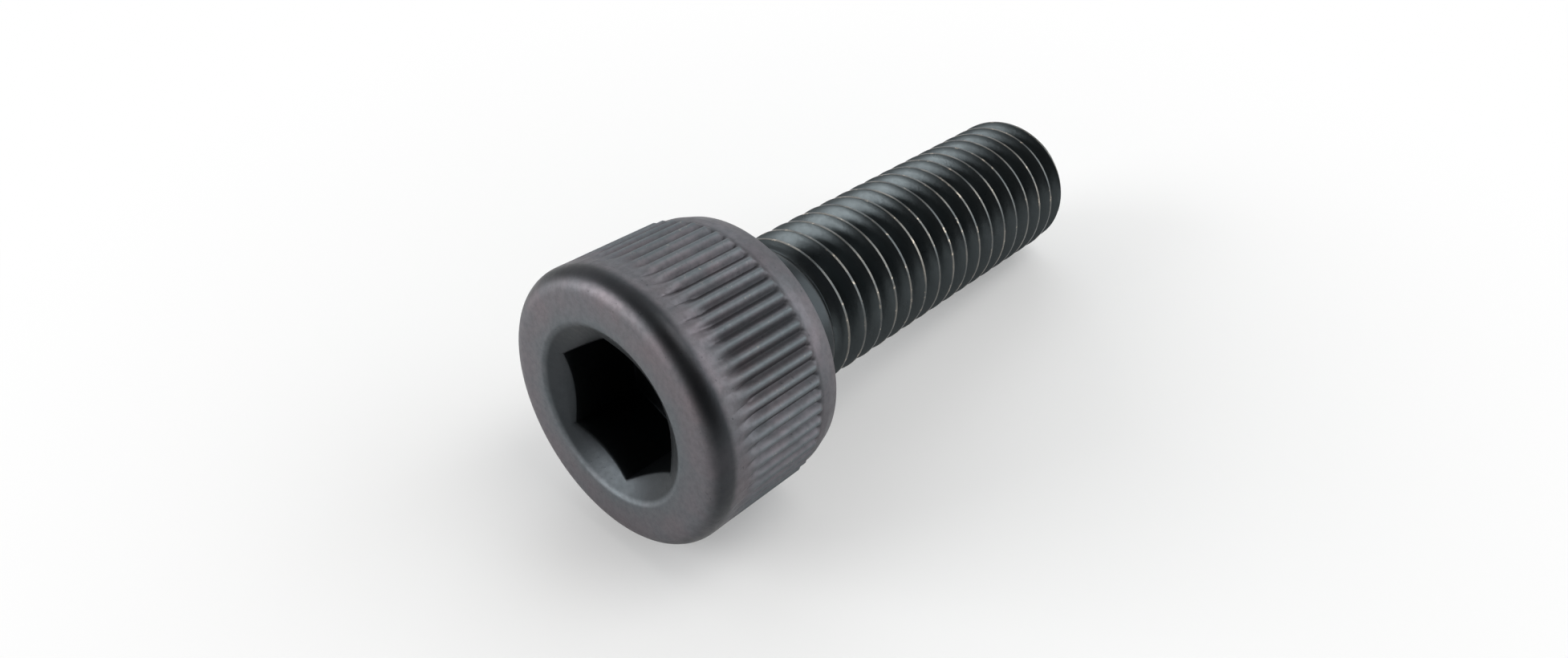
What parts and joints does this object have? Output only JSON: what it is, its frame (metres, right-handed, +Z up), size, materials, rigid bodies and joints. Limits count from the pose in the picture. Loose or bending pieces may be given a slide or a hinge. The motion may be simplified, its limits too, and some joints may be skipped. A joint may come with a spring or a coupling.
{
  "type": "socket head cap screw",
  "caption": "Cap screw with a knurled cylindrical head, a hexagon socket and a fully threaded shank, lying on its side.",
  "frame": {"origin": "centre of the bounding box in X and Y, on the surface that the screw lies on", "axes": "+Z up from that surface; the screw's axis lies in the XZ plane, runs from the socket towards +X and dips 6.1 degrees towards the tip"},
  "size_m": [0.0214, 0.0084, 0.0087],
  "materials": {
    "black_steel": "black oxide with a film of oil, satin on the head and glossier on the thread"
  },
  "bodies": {
    "root": {"cap_screw": "black_steel"}
  },
  "joints": []
}
